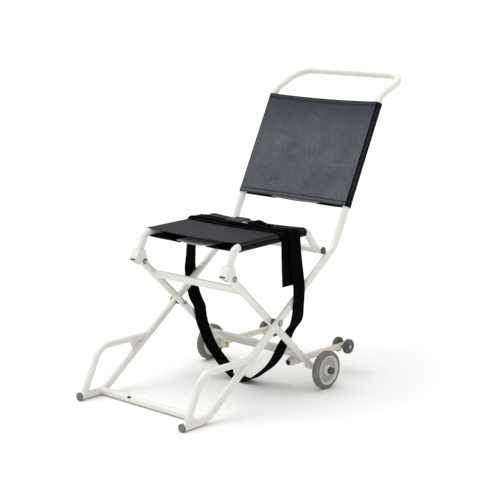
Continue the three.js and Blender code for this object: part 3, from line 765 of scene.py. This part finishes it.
def trolley_arms():
    front, rear = ARM_FRONT, ARM_AXLE + 8
    tube = [(front + 1.4, 8.3), (front + 0.4, 8.3), (front, 8.6), (front, 9.6), (front + 0.4, 10),
            (118.6, 10), (119.2, 9.1), (120.6, 9.1), (121.2, 10), (121.2, 11.4), (121.8, 12), (126.4, 12),
            (127, 11.4), (127, 10), (rear - 1.2, 10), (rear - 0.3, 9.4), (rear, 8.2), (rear, 0)]
    # The bore takes painted shade: the dark inside of the open tube end.
    bore = [(front + 1.2, 8.3), (front + 1.4, 8.25), (150, 8.1), (150, 0)]
    pin = [(-31, 0), (-30.6, 2.4), (-29.6, 4.4), (-28.2, 5.5), (-28, 5.4), (-28, 3)]
    wheel = [(-7, 3.5), (-7, 8.6), (-4.4, 9.8), (-4, 15.6), (-6.8, 17.2), (-7, 19.6), (-5.6, 22), (-3.4, 23),
             (-0.5, 23), (-0.3, 22.7)]
    for side, s in SIDES:
        x = s * ARM_X
        centre = at(x, 0, ARM_Z)
        axis = ACROSS * s
        shape = Shape(lathe(tube, centre, REAR)).material(1).add(lathe(bore, centre, REAR))
        piece(f"arm_tube_{side}", shape, [CREAM, PAINTED_SHADE], f"arm_{side}", [f"trolley_arm_{side}"])
        piece(f"arm_pin_{side}", lathe(pin + mirrored(pin), at(x, ARM_AXLE, ARM_Z), axis, 36), STEEL,
              f"arm_{side}", [f"small_axle_{side}"])
        for place, offset in (("inner", -20), ("outer", 20)):
            shape = turned_ring(wheel + mirrored(wheel), 0.8, at(x + s * offset, ARM_AXLE, ARM_Z), axis, 72)
            piece(f"castor_{place}_{side}", shape, CASTOR, f"small_wheel_{place}_{side}",
                  [f"small_wheel_{place}_{side}"], sharp=50)


# ---- seat frame
def seat_frame():
    post_foot = along(RAIL_FRONT, POST_ANGLE, 58)
    inner, outer = LEG_X - 14.1, LEG_X + 14.1
    pin = [(LEG_X - 17, 0), (LEG_X - 17, 4), (LEG_X - 16, 5.6), (inner, 6),
           *dome_bolt(inner, outer, 3.5, 6, 2.6)[1:]]
    plug = rounded([(200.2, 0), (200.2, 11.1), (201.4, 11.3), (203.2, 10.8), (204.2, 9.4), (204.2, 6.6),
                    (203.4, 6.2), (203.4, 0)], 0.5)
    down = direction(angle_of(RAIL_REAR, REAR_BAR))
    for side, s in SIDES:
        x = s * LEG_X
        axis = ACROSS * s
        route = arc_route([at(x, *p) for p in (post_foot, RAIL_FRONT, RAIL_REAR, REAR_BAR)], [22, 25])
        shape = Shape(sweep(route, TUBE_R, 40))
        rear = at(x, *REAR_BAR)
        shape.add(weld(rear - down * 0.03, down, TUBE_R, rear, ACROSS, TUBE_R))
        piece(f"seat_tube_{side}", shape, WHITE, "seat", [f"seat_rail_{side}"])
        centre = at(0, *SEAT_PIVOT)
        shape = Shape(lathe(pin, centre, axis, 40)).material(1)
        for face in (LEG_X - 14.4, LEG_X + 13.8):
            shape.add(collar(face, face + 0.7, 4, 8.2, 0.25, centre, axis, 40))
        piece(f"seat_pin_{side}", shape, [STEEL, GREY], "seat", [f"seat_bolt_{side}"])
        soften(frame["nodes"][f"seat_bracket_{side}"], WHITE)
        # A dark slot in painted shade: the shadow under the bracket's front plate.
        up_web = direction(POST_ANGLE + math.pi)
        middle = at(x, *along((-203, 385.5), POST_ANGLE + math.pi, 4.2))
        slot = proud_slot(middle, ACROSS, up_web, up_web.cross(-ACROSS), 8.2, 2.4, 2.4)
        piece(f"bracket_slot_{side}", slot, PAINTED_SHADE, "seat")
        piece(f"bar_plug_{side}", lathe(plug, at(0, *REAR_BAR), axis, 40), GREY, "seat",
              [f"rear_bar_cap_{side}"])
    piece("seat_back_bar", x_bar(200, REAR_BAR), WHITE, "seat", ["seat_rear_bar"])


def soften(node, material, width=0.0007):
    """Keeps a CAD node's shape, rounds its edges and gives it a finish."""
    node.data.materials.clear()
    node.data.materials.append(material)
    merge = node.modifiers.new("merge", "WELD")
    merge.merge_threshold = 0.00002
    bevel = node.modifiers.new("edges", "BEVEL")
    bevel.width = width
    bevel.segments = 3
    bevel.limit_method = "ANGLE"
    bevel.angle_limit = math.radians(40)
    node.data.shade_smooth()
    normals = node.modifiers.new("normals", "WEIGHTED_NORMAL")
    normals.keep_sharp = True


# ---- slings
def thicken(made, thickness):
    solid = made.modifiers.new("cloth", "SOLIDIFY")
    solid.thickness = thickness
    solid.offset = 0.0
    return solid


class Sling:
    """Cloth stretched over two parallel tubes, wrapped round each, with flaps part of the way behind.

    x runs across the chair, v runs down the cloth from its upper or rear edge, and h stands out of the
    plane of the tubes towards the sitter. All are millimetres.
    """

    def __init__(self, half, start, angle, length, sag, creases, seed):
        self.half, self.start, self.length, self.sag = half, start, length, sag
        self.creases, self.seed = creases, seed
        self.out = Vector((0, -math.sin(angle), math.cos(angle)))
        self.down = Vector((0, -math.cos(angle), -math.sin(angle)))

    def place(self, x, h, v):
        return at(x, *self.start) + (self.out * h + self.down * v) / 1000

    def dip(self, x, v):
        """How far the front cloth sinks between the tubes: an even sag, slack folds and creases."""
        across = max(0.0, 1 - (x / (self.half - 3)) ** 2)
        ends = 1 + 0.35 * math.cos(2 * math.pi * v / self.length)
        u = Vector((x * 0.006, v * 0.011, self.seed))
        slack = 1.3 * noise.noise(u) + 0.5 * noise.noise(u * 3.1)
        deep = self.sag * across * ends - slack * min(1.0, across * 2.5)
        for x0, v0, x1, v1, depth, width in self.creases:
            run = Vector((x1 - x0, v1 - v0))
            t = min(1.0, max(0.0, Vector((x - x0, v - v0)).dot(run) / run.length_squared))
            away = math.hypot(x - x0 - run.x * t, v - v0 - run.y * t)
            fade = math.sin(math.pi * (0.08 + 0.84 * t))
            deep += depth * fade * math.exp(-(away / width) ** 2)
        return deep

    def edge(self, x, v):
        """The free edges pull in a little between the tubes."""
        pull = 2.6 * max(0.0, 1 - (x / self.half) ** 2)
        return v + pull * (1 - 2 * v / self.length)

    def front(self, x, v, lift=0.0):
        """A point on the cloth's front, raised by lift."""
        return self.place(x, SLING_R - self.dip(x, v) + lift, self.edge(x, v))

    def section(self):
        """Stations (x, h, kind) round the cloth from one flap's end to the other's."""
        side = [(FLAP - self.half - FLAP * k / 17, -SLING_R, "flap") for k in range(17)]
        for k in range(15):
            a = math.radians(270 - 180 * k / 14)
            side.append((SLING_R * math.cos(a) - self.half, SLING_R * math.sin(a), "wrap"))
        seam = self.half - SEAM
        columns = round(2 * seam / 3.6)
        inside = [seam * (2 * k / columns - 1) for k in range(1, columns)]
        beside = [s * (seam + step) for s in (-1, 1) for step in (-1.2, -0.5, 0, 0.5, 1.2, 3)]
        front = [(x, SLING_R, "front") for x in sorted(inside + beside)]
        return side + front + [(-x, h, kind) for x, h, kind in reversed(side)]

    def tone(self, a, b):
        """The tone of the cloth between two stations: the face, painted shade on the wrap's side and on the
        flaps, or the painted highlight strip on the wrap.
        """
        if "front" in (a[2], b[2]):
            return 0
        if "flap" in (a[2], b[2]):
            return 1
        turned = math.degrees(math.acos((a[1] + b[1]) / 2 / SLING_R))
        if turned < 15:
            return 0
        return 2 if 38 < turned < 64 else 1

    def rows(self):
        """Positions down the cloth, close together where the hems are."""
        hem = [0, 0.5, 1.2, 2.4, 5, 8, 10.6, 11.6, 12.2, 12.8, 13.8, 14.8, 15.4, 16, 17, 19]
        middle = np.linspace(22, self.length - 22, round((self.length - 44) / 3.6))
        return hem + list(middle) + [self.length - v for v in reversed(hem)]

    def build(self, name, nodes):
        stations, rows = self.section(), self.rows()
        verts, cloth, thick = [], [], []
        reach = [0.0]
        for a, b in zip(stations, stations[1:]):
            reach.append(reach[-1] + math.hypot(b[0] - a[0], b[1] - a[1]))
        for v in rows:
            from_end = min(v, self.length - v)
            hem = 1.0 if from_end < 14.8 else 0.0
            stitched = math.exp(-((from_end - HEM_STITCH) / 0.7) ** 2)
            for (x, h, kind), s in zip(stations, reach):
                if kind == "front":
                    seam = math.exp(-((abs(x) - self.half + SEAM) / 0.8) ** 2)
                    p = self.place(x, h - self.dip(x, v) - 0.9 * seam, self.edge(x, v))
                elif kind == "flap":
                    flutter = 2.2 * noise.noise(Vector((x * 0.012, v * 0.02, self.seed + 5)))
                    free = min(1.0, (self.half - abs(x)) / 60)
                    p = self.place(x, h - free * (1.5 + flutter), v)
                else:
                    p = self.place(x, h, v)
                verts.append(p)
                cloth.append((s / 1000, v / 1000, 0))
                thick.append(0.62 + 0.38 * hem - 0.42 * stitched)
        shape = Shape((verts, grid(len(rows), len(stations))))
        shape.marks = [self.tone(a, b) for a, b in zip(stations, stations[1:])] * (len(rows) - 1)
        made = piece(name, shape, [self.vinyl, VINYL_PAINTED_SHADE, VINYL_PAINTED_HIGHLIGHT], self.body, nodes, 80,
                     cloth)
        group = made.vertex_groups.new(name="thick")
        for i, weight in enumerate(thick):
            group.add([i], max(0.15, weight), "REPLACE")
        solid = thicken(made, 0.0024)
        solid.vertex_group = "thick"
        solid.use_even_offset = True
        threads = self.stitches(f"{name}_stitches")
        return made

    def stitches(self, name):
        """Short raised stitches along both hems and beside both tubes."""
        lines = []
        for v in (HEM_STITCH, self.length - HEM_STITCH):
            lines.append([(x, v) for x in np.arange(-self.half + 4, self.half - 4, 3.4)])
        for s in (1, -1):
            lines.append([(s * (self.half - SEAM - 2.5), v) for v in np.arange(4, self.length - 4, 3.4)])
        shape = Shape()
        for line in lines:
            for (x0, v0), (x1, v1) in zip(line, line[1:]):
                route = [self.front(x0 + (x1 - x0) * t, v0 + (v1 - v0) * t, lift)
                         for t, lift in ((0.12, 0.35), (0.49, 0.75), (0.86, 0.35))]
                shape.add(sweep(route, [0.28, 0.36, 0.28], 6))
        cloth = [(v.x, v.z, v.y) for v in shape.verts]
        return piece(name, shape, THREAD, self.body, (), 60, cloth)

    def backing(self, name, nodes, droop):
        """The tan panel between the flaps, just in front of them, that droops at its lower edge."""
        half = self.half - FLAP + 14
        xs = np.linspace(-half, half, 41)
        vs = np.linspace(2, self.length - 2, 61)
        verts, cloth = [], []
        for v in vs:
            low = max(0.0, (v - self.length * 0.55) / (self.length * 0.45 - 2))
            for x in xs:
                slack = max(0.0, 1 - (x / half) ** 2)
                ripple = 0.8 * noise.noise(Vector((x * 0.02, v * 0.013, self.seed + 9)))
                verts.append(self.place(x, -9.6 - slack * (2.0 + 2.0 * low) + ripple,
                                        v + droop * slack * low ** 2))
                cloth.append((x / 1000, v / 1000, 0))
        made = piece(name, (verts, grid(len(vs), len(xs))), TAN, self.body, nodes, 80, cloth)
        thicken(made, 0.0011)
        return made


back = Sling(FRAME_X, along(BEND, back_angle, BACK_TOP), back_angle, BACK_LENGTH, 4.0,
             [(-20, 48, 22, 72, 2.6, 3.0), (22, 72, 22, 98, 3.0, 2.6), (22, 72, 44, 66, 2.2, 2.6),
              (110, 205, 172, 202, 2.8, 2.6), (-150, 120, -20, 150, 0.9, 8.0)], 2.0)
back.body, back.vinyl = "long_frame", VINYL
rail_length = math.hypot(RAIL_REAR[0] - RAIL_FRONT[0], RAIL_REAR[1] - RAIL_FRONT[1])
seat = Sling(LEG_X, along(RAIL_REAR, rail_angle, -12), rail_angle, rail_length - 26, 4.0,
             [(-150, 150, -60, 190, 0.8, 8.0), (40, 190, 150, 150, 0.8, 9.0), (60, 90, 168, 80, 0.9, 4.0)],
             6.0)
seat.body, seat.vinyl = "seat", VINYL_SEAT_PAINTED_SHADE


# ---- belt
def smooth_route(points, spacing=5.0):
    """A Catmull-Rom curve through (x, y, z, ...) rows, resampled about every few millimetres."""
    rows = [np.array(p, float) for p in points]
    rows = [2 * rows[0] - rows[1], *rows, 2 * rows[-1] - rows[-2]]
    made = []
    for a, b, c, d in zip(rows, rows[1:], rows[2:], rows[3:]):
        steps = max(2, round(float(np.linalg.norm((c - b)[:3])) / spacing))
        for k in range(steps):
            t = k / steps
            made.append(0.5 * ((2 * b) + (c - a) * t + (2 * a - 5 * b + 4 * c - d) * t ** 2
                               + (3 * b - a - 3 * c + d) * t ** 3))
    made.append(rows[-2])
    return made


def ribbon(name, points, body, node, width=BELT_WIDTH, thickness=1.7, curl=0.0):
    """Webbing along (x, y, z, twist) rows, its width along Y, turned by twist degrees about its length."""
    rows = smooth_route(points)
    centres = [at(*row[:3]) for row in rows]
    columns = [-1, -0.985, -0.93, -0.6, -0.3, 0, 0.3, 0.6, 0.93, 0.985, 1]
    slim = [0.35, 0.75, 1, 1, 1, 1, 1, 1, 1, 0.75, 0.35]
    section = [(j, 1) for j in range(11)] + [(j, -1) for j in reversed(range(11))]
    rings, cloth, length = [], [], 0.0
    for i, centre in enumerate(centres):
        tangent = (centres[min(i + 1, len(centres) - 1)] - centres[max(i - 1, 0)]).normalized()
        if i:
            length += (centre - centres[i - 1]).length
        wide = (REAR - tangent * REAR.dot(tangent)).normalized()
        wide = Matrix.Rotation(math.radians(rows[i][3]), 3, tangent) @ wide
        up = tangent.cross(wide)
        ring = []
        for j, sign in section:
            w = columns[j] * width / 2
            lift = sign * thickness / 2 * slim[j] + curl * (columns[j] ** 2 - 0.4)
            ring.append(centre + (wide * w + up * lift) / 1000)
            cloth.append((w / 1000, length, 0))
        rings.append(ring)
    made = piece(name, skin(rings), BLACK_WEB, body, [node] if node else [], 50, cloth)
    return made


def over_seat(x, y, lift):
    """A row on the seat's cloth at a chair position, raised by lift."""
    v = seat.start[0] - y
    p = seat.front(x, v, lift) * 1000
    return (x, y, p.z)


def across_seat(x0, x1, y, lift, twist=0.0, wave=0.0, count=14):
    """Rows that lie over the seat's cloth from one side to the other."""
    rows = []
    for k in range(count + 1):
        x = x0 + (x1 - x0) * k / count
        rows.append((*over_seat(x, y, lift + wave * math.sin(9 * k / count) ** 2), twist))
    return rows


def belt():
    tail_top = over_seat(LEG_X - 4, TAIL_Y, 2.2)[2]
    tail = across_seat(-LEG_X, LEG_X - 10, TAIL_Y, 2.2, 1.4, 0.3)
    tail += [(182, 50, tail_top - 0.8, 0), (190.2, 50, tail_top - 6, 0), (193.4, 50, tail_top - 18, 0),
             (195, 49.5, 440, 1), (197, 49, 400, 1), (199, 48.5, 360, 0), (201, 48.5, 327.5, 0)]
    end = ribbon("strap_end", tail, "seat", "belt_tail", curl=0.3)

    ribbon("lap_strap", across_seat(-LEG_X, LEG_X, LAP_Y, 4.6, -2.5, 0.4), "seat", "belt_lap")
    fold = [(30, 84, 486.5, 0), (32.5, 84, 490.2, 0), (39, 84.5, 491.6, 0), (52, 85, 489, 0),
            (70, 84, 485.2, 0), (92, 83, 483, 0)]
    ribbon("lap_strap_fold", fold, "seat", None, 48)

    top = over_seat(LEG_X - 4, LAP_Y, 4.8)[2]
    near = [(LEG_X, 80, top, 0), (184, 80, top - 1, 0), (192, 80, top - 6, 0), (196.6, 80, top - 18, 0),
            (198.6, 80, 440, 2), (203, 80.5, 400, 3), (209, 81, 360, 3), (215.5, 80, 325, 2),
            (218.6, 77, 292, 0), (218.3, 75, 264, 0), (214, 78, 246, 0), (206, 85, 229, 0),
            (195, 93, 212, 0), (182, 98, 198, 0), (171, 100, 186, 0), (163, 98, 172, 0), (158, 95, 157, 0),
            (149, 89, 136, 2), (131, 84, 96, 3), (104, 81, 62, 2), (68, 80, 33, 0), (38, 80, 12, 0),
            (14, 80, 4, 0)]
    far = [(LEG_X, 74, top, 0), (184, 72, top - 1, 0), (191.6, 69, top - 6, 0), (195.4, 67, top - 18, -3),
           (196.5, 66, 440, -7), (199, 66, 400, -9), (206, 70, 360, -8), (214.5, 76, 325, -4),
           (218.8, 84, 292, 0), (218.3, 89, 264, 0), (211, 87, 246, 0), (199, 81, 232, 0),
           (186, 75, 221, 0), (174, 71, 212, 0), (164.5, 67.5, 201, 0), (161, 66.5, 188, 0),
           (158.5, 68, 168, 0), (151, 72, 140, -2), (125, 75, 91, -3), (88, 77, 54, -2), (50, 78, 25, 0),
           (16, 79.5, 7, 0)]
    rows = near + [(-x, y, z, -twist) for x, y, z, twist in reversed(far)]
    loop = ribbon("hanging_strap", rows, "seat", "belt_loop", curl=0.5)
    for strap in (loop, end):
        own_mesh(strap)
    buckle()


def soft_box(size, centre, bevel, segments=4):
    """A box with rounded edges, as vertices and faces."""
    work = bmesh.new()
    bmesh.ops.create_cube(work, size=1.0)
    for vert in work.verts:
        vert.co = Vector(vert.co[i] * size[i] / 1000 for i in range(3))
    bmesh.ops.bevel(work, geom=list(work.edges), offset=bevel / 1000, segments=segments, profile=0.5,
                    affect="EDGES")
    work.verts.index_update()
    verts = [v.co + centre for v in work.verts]
    faces = [tuple(v.index for v in face.verts) for face in work.faces]
    work.free()
    return verts, faces


def buckle():
    """A push-button buckle: bezel, button in its window, and a pressed tongue with its webbing slot."""
    def centre_of(node):
        low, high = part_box(node)
        return (low + high) / 2

    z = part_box("buckle_frame")[0].z + 0.0022

    def boxes(node, parts):
        """Soft boxes at (x, y, height over z) in millimetres from a CAD node's middle."""
        middle = centre_of(node)
        shape = Shape()
        for size, x, y, lift, bevel, segments in parts:
            centre = Vector((middle.x + x / 1000, middle.y + y / 1000, z + lift / 1000))
            shape.add(soft_box(size, centre, bevel, segments))
        return shape

    case = [((58, 50, 7.5), 0, 0, 0, 2.6, 4), ((50, 4.5, 2.2), 0, 21.5, 4.2, 1, 4),
            ((50, 4.5, 2.2), 0, -21.5, 4.2, 1, 4), ((5, 44, 2.2), 24.5, 0, 4.2, 1, 4)]
    piece("buckle_case", boxes("buckle_frame", case), BLACK_PLASTIC, "seat", ["buckle_frame"])
    ribs = [((1.3, 22, 0.9), (k - 1.5) * 3.4, 0, 6.1, 0.4, 2) for k in range(4)]
    button = boxes("buckle_button", [((18, 30, 3.4), 0, 0, 4.2, 1.2, 4), *ribs])
    piece("buckle_press", button, GREY, "buckle_button", ["buckle_button"])
    tongue = [((6, 46, 2.4), -9, 0, 0, 1, 4), ((6, 46, 2.4), 10, 0, 0, 1, 4),
              ((26, 5, 2.4), 0.5, 20.5, 0, 1, 4), ((26, 5, 2.4), 0.5, -20.5, 0, 1, 4)]
    piece("buckle_plate", boxes("buckle_tongue", tongue), STEEL, "seat", ["buckle_tongue"])


# ---- studio
def studio():
    reach = 300.0
    mesh = bpy.data.meshes.new("floor")
    mesh.from_pydata([(-reach, -reach, 0), (reach, -reach, 0), (reach, reach, 0), (-reach, reach, 0)], [],
                     [(0, 1, 2, 3)])
    floor = bpy.data.objects.new("floor", mesh)
    bpy.context.scene.collection.objects.link(floor)
    shader = Shader("floor", (0.9, 0.9, 0.9), 0.8)
    shader.set("Specular IOR Level", 0.1)
    cloud = shader.span(shader.noise(shader.place(), 1.2), 0.3, 0.7)
    shader.link(shader.mix(cloud, (0.90, 0.895, 0.885), (0.92, 0.915, 0.905)), "Base Color")
    mesh.materials.append(shader.material)

    world = bpy.data.worlds.new("studio")
    bpy.context.scene.world = world
    world.use_nodes = True
    sky = world.node_tree.nodes["Background"]
    sky.inputs["Color"].default_value = (1, 1, 1, 1)
    sky.inputs["Strength"].default_value = 0.66

    suns = (("key", (-0.55, -0.25, 1.3), 60, 1.35), ("top", (0.05, 0.1, 1.0), 100, 0.6))
    for name, towards, spread, power in suns:
        light = bpy.data.lights.new(name, "SUN")
        light.angle = math.radians(spread)
        light.energy = power
        lamp = bpy.data.objects.new(name, light)
        bpy.context.scene.collection.objects.link(lamp)
        lamp.rotation_euler = Vector(towards).to_track_quat("Z", "Y").to_euler()
    bpy.context.scene.view_settings.view_transform = "Standard"


def camera():
    """Stands ahead and to the left of the sitter and looks a little down on the chair."""
    yaw, pitch, roll = (math.radians(d) for d in (41.620, -11.199, 0.407))
    level = Matrix.Rotation(yaw, 4, "Z") @ Matrix.Rotation(math.pi / 2 + pitch, 4, "X")
    turn = level @ Matrix.Rotation(roll, 4, "Z")
    data = bpy.data.cameras.new("camera")
    data.sensor_width = 36
    data.lens = 99.8345
    eye = bpy.data.objects.new("camera", data)
    bpy.context.scene.collection.objects.link(eye)
    eye.matrix_world = Matrix.Translation(at(2687.4, -2914.5, 1207.9)) @ turn
    bpy.context.scene.camera = eye


camera()
studio()
outer_frame()
wheel_frame()
main_wheels()
trolley_arms()
seat_frame()
back.build("backrest_cloth", ["backrest_sling"])
back.backing("backrest_backing", ["backrest_panel"], 2.0)
seat.build("seat_cloth", ["seat_sling"])
seat.backing("seat_backing", ["seat_panel"], 3.0)
belt()
